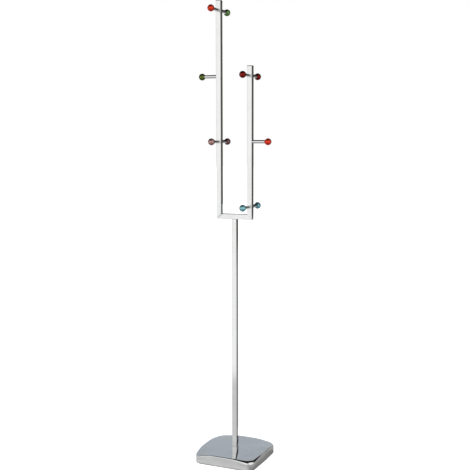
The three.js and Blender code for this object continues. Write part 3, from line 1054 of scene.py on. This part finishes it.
def makeFootPad(node):
    # rings moulded into the underside, a shoulder under the plate and a barbed stem
    low, high = boxOf(node)
    half, deep = pad["grooveWidth"] / 2, pad["grooveDepth"]
    stem, shoulder, top = pad["stemRadius"], plateLow[2], high[2]
    soft, grooveRound, stemRound = pad["soft"], pad["grooveRound"], pad["stemRound"]
    corners = [(0, 0, 0)]
    for groove in pad["grooves"]:
        corners += [(groove - half, 0, soft), (groove - half / 2, deep, grooveRound)]
        corners += [(groove + half / 2, deep, grooveRound), (groove + half, 0, soft)]
    corners += [(pad["radius"], 0, pad["edge"]), (pad["radius"], shoulder, pad["shoulderRound"])]
    corners.append((stem, shoulder, stemRound))
    for rise in pad["barbHeights"]:
        corners.append((stem - pad["barb"], shoulder + rise, soft))
        corners.append((stem, shoulder + rise + pad["barbRise"], soft))
    taper = pad["stemTaper"]
    corners += [(stem, top - taper, stemRound), (stem - taper, top, stemRound), (0, top, 0)]
    points = turned(densified(filleted(corners, 4), pad["longestStep"]), pad["steps"])
    points += np.array([(low[0] + high[0]) / 2, (low[1] + high[1]) / 2, 0])
    addPiece(node, points)


def makeBottomPlate():
    # a sheet from the mouth to the outline: a rounded strip of nominal width whose points move out by their
    # share of it, pressed down by rib·exp(-((r - ring)/width)²)
    angle = roundAngles(plate["steps"])[:, None]
    outer = footRadius(angle) - plate["inset"]
    width = plate["nominalWidth"]
    strip = roundedRectangle((0, width), (0, plateHigh[2] - plateLow[2]), plate["edgeRound"], 4)
    strip = densifiedLoop(strip, plate["longestStep"])
    across, rise = strip[None, :, 0], strip[None, :, 1]
    radius = plate["mouth"] + across + across / width * (outer - plate["mouth"] - width)
    rib = plate["ribHeight"] * np.exp(-((radius - plate["ribRadius"]) / plate["ribWidth"]) ** 2)
    points = rounded(angle, radius, plateLow[2] + rise - rib)
    bar = pad["stemRadius"] + pad["stemClearance"]
    level = np.array([1, 1, 0])
    holes = [(middleOf(node) * level, directions["up"], bar, 2 * plateHigh[2]) for node in padNodes]
    addPiece("bottom_plate", points, True, holes)


makeBaseCover()
for node in padNodes:
    makeFootPad(node)
makeBottomPlate()
print("foot made")


bolt = {
    "radius": 5 * mm,
    "pitch": 1.5 * mm,
    "threadDepth": 0.8 * mm,
    "endChamfer": 1.2 * mm,
    "rowsPerPitch": 10,
    "steps": 96,
    "across": 17 * mm,
    "head": 6.4 * mm,
    "faceShare": 0.95,  # of the hexagon's width, for the washer face and the flat of the head
    "washerFace": 0.4 * mm,
    "coneHeight": 1.1 * mm,
    "coneRows": 8,
    "flatFrom": 1.3 * mm,
    "soft": 0.1 * mm,
    "neckRound": 0.2 * mm,
    "neck": 4 * mm,
    "runOut": 0.4 * mm,
    "threadFrom": 5 * mm,
}
screw = {  # button head screws in the joint
    "radius": 3 * mm,
    "pitch": 1.0 * mm,
    "threadDepth": 0.54 * mm,
    "endChamfer": 0.7 * mm,
    "rowsPerPitch": 10,
    "steps": 96,
    "headRadius": 5.25 * mm,
    "head": 3.3 * mm,
    "headEdge": 0.35 * mm,
    "headSoft": 0.15 * mm,
    "shoulder": (0.86, 0.72),  # where the dome turns, in shares of the head's radius and height
    "shoulderRound": 1.6 * mm,
    "crown": 0.6,
    "crownRound": 1.2 * mm,
    "neck": 0.2 * mm,
    "neckRound": 0.1 * mm,
    "threadStop": 0.4 * mm,
    "socketAcross": 4 * mm,
    "socketDepth": 2 * mm,
    "socketRim": 1.24,  # the rim's radius over half the width across
    "socketEdge": 0.15 * mm,
    "socketFoot": 0.3 * mm,
    "coneDepths": (0.25 * mm, 0.5 * mm),  # of the floor's cone, half way in and in the middle
}
springWasher = {"inner": 5.3 * mm, "outer": 9 * mm, "gap": 0.12, "soft": 0.35 * mm, "steps": 120}
flatWasher = {"inner": 5.3 * mm, "outer": 14 * mm, "soft": 0.3 * mm, "support": 0.05 * mm, "steps": 120}


def hexagon(angle, across):
    # across/2 / cos((a + 30°) mod 60° - 30°)
    sixth = turn / 6
    return across / 2 / np.cos((angle + sixth / 2) % sixth - sixth / 2)


def makeBolt():
    # hexagon head cut by a 30 degree cone, r = face + (h - start)·√3; then washer face, neck and thread
    low, high = boxOf("post_bolt")
    start, end = low[2], high[2]
    steps = bolt["steps"]
    radius = bolt["radius"]
    face = bolt["across"] / 2 * bolt["faceShare"]
    seat = start + bolt["head"]
    shoulder = seat - bolt["washerFace"]
    cone = np.linspace(start, start + bolt["coneHeight"], bolt["coneRows"])
    heights = np.concatenate([cone, [start + bolt["flatFrom"], shoulder - bolt["soft"], shoulder]])
    profile = np.stack([np.full(len(heights), face), heights], axis=-1)
    neck = [
        (face, shoulder, 0),
        (face, seat, bolt["soft"]),
        (radius, seat, bolt["neckRound"]),
        (radius, seat + bolt["neck"], 0),
    ]
    runOut = np.array([[radius - bolt["threadDepth"], seat + bolt["neck"] + bolt["runOut"]]])

    def headRadius(angle, radius, height):
        return np.minimum(hexagon(angle, bolt["across"]), face + (height - start) * math.sqrt(3))

    rows = [
        poleRow(steps, start),
        turned(profile, steps, headRadius),
        turned(filleted(neck, 4), steps),
        turned(runOut, steps),
        threadRows(seat + bolt["threadFrom"], end, bolt, steps)[:, bolt["rowsPerPitch"]:],
        poleRow(steps, end),
    ]
    addPiece("post_bolt", np.concatenate(rows, axis=1))


def makeJointScrew(node):
    # threaded shank, domed button head and a hexagon socket with a coned floor
    direction = directions["rear"]
    start, end = outerReach(node, direction)
    steps = screw["steps"]
    radius, edge, soft = screw["radius"], screw["headRadius"], screw["headSoft"]
    seat = end - screw["head"]
    floor = end - screw["socketDepth"]
    across, up = screw["shoulder"]
    head = [
        (radius, seat - screw["neck"], 0),
        (radius, seat, screw["neckRound"]),
        (edge, seat, soft),
        (edge, seat + screw["headEdge"], soft),
        (edge * across, seat + screw["head"] * up, screw["shoulderRound"]),
        (edge * screw["crown"], end, screw["crownRound"]),
        (screw["socketAcross"] / 2 * screw["socketRim"], end, 0),
    ]
    halfWay, deepest = screw["coneDepths"]
    walls = [(1, end - screw["socketEdge"]), (1, floor + screw["socketFoot"]), (1, floor)]
    socket = np.array([*walls, (0.5, floor - halfWay)])  # share of the hexagon's radius, and height

    def socketRadius(angle, share, height):
        return hexagon(angle, screw["socketAcross"]) * share

    rows = [
        poleRow(steps, start),
        threadRows(start, seat - screw["threadStop"], screw, steps, False),
        turned(filleted(head, 5), steps),
        turned(socket, steps, socketRadius),
        poleRow(steps, floor - deepest),
    ]
    addAlong(node, np.concatenate(rows, axis=1), direction)


def makeSpringWasher():
    # a rounded rectangle swept round the bolt, open over the gap, its ends closed to the section's middle
    low, high = boxOf("spring_washer")
    section = roundedRectangle((springWasher["inner"], springWasher["outer"]), (low[2], high[2]),
                               springWasher["soft"], 5)
    sweep = np.linspace(springWasher["gap"], turn - springWasher["gap"], springWasher["steps"])
    angle = np.concatenate([sweep[:1], sweep, sweep[-1:]])
    middle = np.broadcast_to(section.mean(axis=0), (len(section), 1, 2))
    rows = np.concatenate([middle, np.repeat(section[:, None], len(sweep), axis=1), middle], axis=1)
    addPiece("spring_washer", rounded(angle, rows[..., 0], rows[..., 1]))


def makeFlatWasher():
    # a rounded rectangle turned round the bolt
    low, high = boxOf("flat_washer")
    loop = roundedRectangle((flatWasher["inner"], flatWasher["outer"]), (low[2], high[2]),
                            flatWasher["soft"], 5, flatWasher["support"])
    addPiece("flat_washer", turned(loop, flatWasher["steps"]), True)


makeBolt()
makeSpringWasher()
makeFlatWasher()
makeJointScrew("joint_screw_upper")
makeJointScrew("joint_screw_lower")
print("bolt, washers and screws made")

keptNodes = ["ballast_weight", "post_nut_plug", "joining_spigot"]  # hidden inside, shown as they are
for node in keptNodes:
    for place in nodes[node].material_slots:
        place.material = materialOfSlot[slotOfNode[node]]
print("kept as they are:", ", ".join(keptNodes))


studio = {
    "background": (1.0, 1.0, 1.0),
    # what the metal mirrors: dark above, from one elevation to the other, and cards round the horizon
    "above": (0.012, 0.012, 0.012),
    "aboveFrom": 33,
    "aboveFull": 38,
    "between": (0.6, 0.6, 0.6),
    # azimuth is turned from the front towards +X; a card covers that much to each side of it, and fades
    # over the softness; heights are elevations; all in degrees, but heightSoft is a sine
    "cards": [
        {"azimuth": -4, "spread": 31, "soft": 14, "low": -30, "high": 35, "colour": (1.45, 1.45, 1.43)},
        {"azimuth": 72, "spread": 24, "soft": 12, "low": -30, "high": 52, "colour": (1.4, 1.4, 1.38)},
        {"azimuth": 180, "spread": 62, "soft": 12, "low": 9, "high": 60, "colour": (0.02, 0.02, 0.02)},
        {"azimuth": -160, "spread": 42, "soft": 12, "low": -30, "high": 7, "colour": (0.2, 0.2, 0.2)},
        {"azimuth": 156, "spread": 26, "soft": 10, "low": -30, "high": 12, "colour": (0.125, 0.12, 0.108)},
    ],
    "heightSoft": 0.05,
}


def towards(azimuth, elevation=0.0):
    # (sin a·cos e, -cos a·cos e, sin e)
    a, e = math.radians(azimuth), math.radians(elevation)
    return Vector((math.sin(a) * math.cos(e), -math.cos(a) * math.cos(e), math.sin(e)))


def sine(degrees):
    # of an angle in degrees, as cosine() below
    return math.sin(math.radians(degrees))


def cosine(degrees):
    return math.cos(math.radians(degrees))


def makeWorld():
    # white where the camera looks; what the metal mirrors is dark above, with soft cards round the horizon
    world = bpy.data.worlds.new("studio")
    world.use_nodes = True
    scene.world = world
    shop = Shop(world.node_tree)
    toward = shop.node("ShaderNodeTexCoord", out="Generated")
    x, y, z = (shop.split(toward, axis) for axis in ("X", "Y", "Z"))
    level = (x * x + y * y + 1e-6) ** 0.5
    overhead = shop.ramp(z, sine(studio["aboveFrom"]), sine(studio["aboveFull"]))
    colour = shop.mix(overhead, shade(*studio["between"]), shade(*studio["above"]))
    soft = studio["heightSoft"]
    for card in studio["cards"]:
        middle = towards(card["azimuth"])
        facing = (x * middle.x + y * middle.y) / level
        low, high = sine(card["low"]), sine(card["high"])
        outer, inner = cosine(card["spread"] + card["soft"]), cosine(card["spread"] - card["soft"])
        below = shop.ramp(z, high + soft, high - soft)
        mask = shop.ramp(facing, outer, inner) * below * shop.ramp(z, low - soft, low)
        colour = shop.mix(mask, colour, shade(*card["colour"]))
    mirrored = shop.node("ShaderNodeBackground", inputs={"Color": colour, "Strength": 1.0})
    plain = shop.node("ShaderNodeBackground", inputs={"Color": shade(*studio["background"]), "Strength": 1.0})
    seen = shop.node("ShaderNodeLightPath", out="Is Camera Ray")
    both = shop.node("ShaderNodeMixShader", inputs={0: seen, 1: mirrored, 2: plain})
    shop.node("ShaderNodeOutputWorld", inputs={"Surface": both})


def stageMesh(name, points, quads, material):
    # a mesh that belongs to the studio and not to the rack
    mesh = bpy.data.meshes.new(name)
    mesh.from_pydata(np.asarray(points).tolist(), [], np.asarray(quads).tolist())
    mesh.materials.append(material)
    piece = bpy.data.objects.new(name, mesh)
    scene.collection.objects.link(piece)
    return piece


shownFloor = {
    "tone": (0.85, 0.85, 0.85),
    "roughness": 0.9,
    "half": 30.0,
    "height": -0.2 * mm,
    # where the painted shadow under the foot gives way to the floor's glow
    "lit": (-5 * mm, 0.0),  # outside the foot's outline
}
# a glowing floor whose light and shade are painted; only the metal sees it
mirroredFloor = {  # only the metal sees it
    "height": -0.3 * mm,
    # painted light in front of the rack: brighter far away and where seen at a low angle, darker where seen
    # steeply
    "near": (0.93, 0.93, 0.92),
    "far": (1.4, 1.4, 1.38),
    "farFrom": (1.0, 1.4),
    "steep": (0.47, 0.47, 0.46),
    "low": (0.45, 0.7),  # how far the view has turned from straight down to level
    # painted shade on the floor behind the rack
    "behindAzimuth": 156,
    "behindFrom": (0.72, 0.93),  # cosine of the angle away from that azimuth
    "behindNear": (0.36, 0.36, 0.35),
    "behindFar": (0.115, 0.11, 0.10),
    "behindFarFrom": (4.5, 8.0),
    # a painted shadow close to the foot's right and rear sides: darkest at its outline, and past its edges
    # only
    "shaded": (0.13, 0.127, 0.12),
    "beside": (0.52, 0.52, 0.51),
    "besideFrom": (0.0, 0.045),
    "besideReach": (0.28, 0.14),
    "pastEdge": (-0.03, 0.02),
    "pastMiddle": (-0.02, 0.08),
}


def outlineDistance(shop, place):
    # sqrt(max(|x| - straight, 0)² + max(|y| - straight, 0)²) - corner, negative inside a rounded square as
    # large as the foot
    corner = foot["cornerRadius"]
    straight = footHalf - foot["bow"] / 2 - corner
    dx = shop.math("MAXIMUM", abs(shop.split(place, "X")) - straight, 0.0)
    dy = shop.math("MAXIMUM", abs(shop.split(place, "Y")) - straight, 0.0)
    return (dx * dx + dy * dy) ** 0.5 - corner


def stageFloor(name, height, material):
    # a level square round the rack
    half = shownFloor["half"]
    corners = [[-half, -half, height], [half, -half, height], [half, half, height], [-half, half, height]]
    return stageMesh(name, corners, [[0, 1, 2, 3]], material)


def makeShownFloor():
    # the pale floor that shows: it glows evenly all over, with a painted shadow under the foot
    material, shop = newMaterial("paleFloor")
    # painted shadow: the glow is masked off under the foot
    lit = shop.ramp(outlineDistance(shop, shop.place()), *shownFloor["lit"])
    finishMaterial(shop, {
        "Base Color": shade(*shownFloor["tone"]),
        "Roughness": shownFloor["roughness"],
        "Emission Color": shop.mix(lit, shade(0, 0, 0), shade(1, 1, 1)),
        "Emission Strength": 1.0,
    })
    floor = stageFloor("floor", shownFloor["height"], material)
    floor.visible_glossy = False
    floor.visible_transmission = False
    floor.visible_diffuse = False


def makeMirroredFloor():
    # painted light and shade on a glowing floor: brighter far away and where it is seen at a low angle, a
    # painted shade, dim behind the rack, and a painted shadow, dark close to the foot
    look = mirroredFloor
    material, shop = newMaterial("mirroredFloor")
    place = shop.place()
    x, y = shop.split(place, "X"), shop.split(place, "Y")
    distance = (x * x + y * y + 1e-6) ** 0.5
    # painted shade behind the rack
    middle = towards(look["behindAzimuth"])
    behind = shop.ramp((x * middle.x + y * middle.y) / distance, *look["behindFrom"])
    # painted light and shade in front of the rack
    front = shop.mix(shop.ramp(distance, *look["farFrom"]), shade(*look["near"]), shade(*look["far"]))
    low = shop.ramp(shop.node("ShaderNodeLayerWeight", inputs={"Blend": 0.5}, out="Facing"), *look["low"])
    front = shop.mix(low, shade(*look["steep"]), front)
    farther = shop.ramp(distance, *look["behindFarFrom"])
    rear = shop.mix(farther, shade(*look["behindNear"]), shade(*look["behindFar"]))
    colour = shop.mix(behind, front, rear)
    # painted shadow close to the foot's right and rear sides
    away = outlineDistance(shop, place)
    lighter = shop.ramp(away, *look["besideFrom"], "LINEAR")
    near = shop.mix(lighter, shade(*look["shaded"]), shade(*look["beside"]))
    edge = [footHalf + past for past in look["pastEdge"]]
    rightSide = shop.ramp(x, *edge)
    rearSide = shop.ramp(y, *edge) * shop.ramp(x, *look["pastMiddle"])
    mask = shop.ramp(away, *look["besideReach"]) * shop.math("MAXIMUM", rightSide, rearSide)
    glowMaterial(shop, shop.mix(mask, colour, near))
    floor = stageFloor("mirroredFloor", look["height"], material)
    floor.visible_camera = False
    floor.visible_shadow = False


backdrop = {  # rings of distance and height: upright, then leaning over the rack
    "from": -201,
    "to": -60,
    "steps": 49,
    "rings": [(1.2, 0.0), (1.2, 0.80), (0.62, 0.97)],
    "colour": (0.56, 0.61, 0.66),
}
sideCard = {"from": 0.54, "to": 0.95, "behind": 1.1, "low": 0.15, "high": 0.60, "colour": (0.5, 0.5, 0.5)}


def mirroredCard(name, points, quads, colour):
    # a glowing card that shows only in the metal
    material, shop = newMaterial(name)
    glowMaterial(shop, shade(*colour))
    piece = stageMesh(name, points, quads, material)
    piece.visible_camera = False
    piece.visible_diffuse = False
    piece.visible_shadow = False


def makeBackdrop():
    # distance·(sin a, -cos a, 0) + height·up on every ring: a low curved card that leans over at the top
    angle = np.radians(np.linspace(backdrop["from"], backdrop["to"], backdrop["steps"]))
    outward = np.stack([np.sin(angle), -np.cos(angle), np.zeros(len(angle))], axis=-1)
    rings = [outward * distance + directions["up"] * height for distance, height in backdrop["rings"]]
    points = np.concatenate(rings)
    count = len(angle)
    near = np.concatenate([np.arange(count - 1), np.arange(count - 1) + count])
    quads = np.stack([near, near + 1, near + 1 + count, near + count], axis=-1)
    mirroredCard("backdrop", points, quads, backdrop["colour"])


def makeSideCard():
    # an upright card behind the foot's right edge
    x = [sideCard["from"], sideCard["to"], sideCard["to"], sideCard["from"]]
    z = [sideCard["low"], sideCard["low"], sideCard["high"], sideCard["high"]]
    points = np.stack([x, np.full(4, sideCard["behind"]), z], axis=-1)
    mirroredCard("sideCard", points, [[0, 1, 2, 3]], sideCard["colour"])


softboxes = {
    "softboxLeft": {"azimuth": -24, "elevation": 15, "distance": 3.0, "size": 1.6, "power": 30},
    "softboxRight": {"azimuth": 72, "elevation": 15, "distance": 3.0, "size": 1.4, "power": 18},
}
softboxAim = Vector((0, 0, 0.9))


def makeSoftbox(name, box):
    # an area light that faces the rack's middle; it lights, and the world's cards are what the metal mirrors
    light = bpy.data.lights.new(name, "AREA")
    light.shape = "SQUARE"
    light.size = box["size"]
    light.energy = box["power"]
    lamp = bpy.data.objects.new(name, light)
    back = towards(box["azimuth"], box["elevation"])
    lamp.location = softboxAim + back * box["distance"]
    lamp.rotation_euler = (-back).to_track_quat("-Z", "Y").to_euler()
    lamp.visible_glossy = False
    lamp.visible_transmission = False
    scene.collection.objects.link(lamp)


view = {
    "azimuth": 23.96,
    "elevation": 6.53,
    "roll": -0.09,
    "distance": 3.412,
    "aside": 0.0003,
    "height": 0.8992,
    "lens": 66.82,
}


def makeCamera():
    # it stands at aim + distance·towards(azimuth, elevation), looks back at the aim and is rolled a little
    lens = bpy.data.cameras.new("camera")
    lens.lens = view["lens"]
    lens.sensor_width = 36
    lens.clip_start = 0.05
    lens.clip_end = 100
    camera = bpy.data.objects.new("camera", lens)
    back = towards(view["azimuth"], view["elevation"])
    camera.location = Vector((view["aside"], 0, view["height"])) + back * view["distance"]
    aim = (-back).to_track_quat("-Z", "Y") @ Quaternion((0, 0, 1), math.radians(view["roll"]))
    camera.rotation_euler = aim.to_euler()
    scene.collection.objects.link(camera)
    scene.camera = camera


makeWorld()
makeShownFloor()
makeMirroredFloor()
makeBackdrop()
makeSideCard()
for name, box in softboxes.items():
    makeSoftbox(name, box)
makeCamera()
scene.view_settings.view_transform = "Standard"
print("studio made")
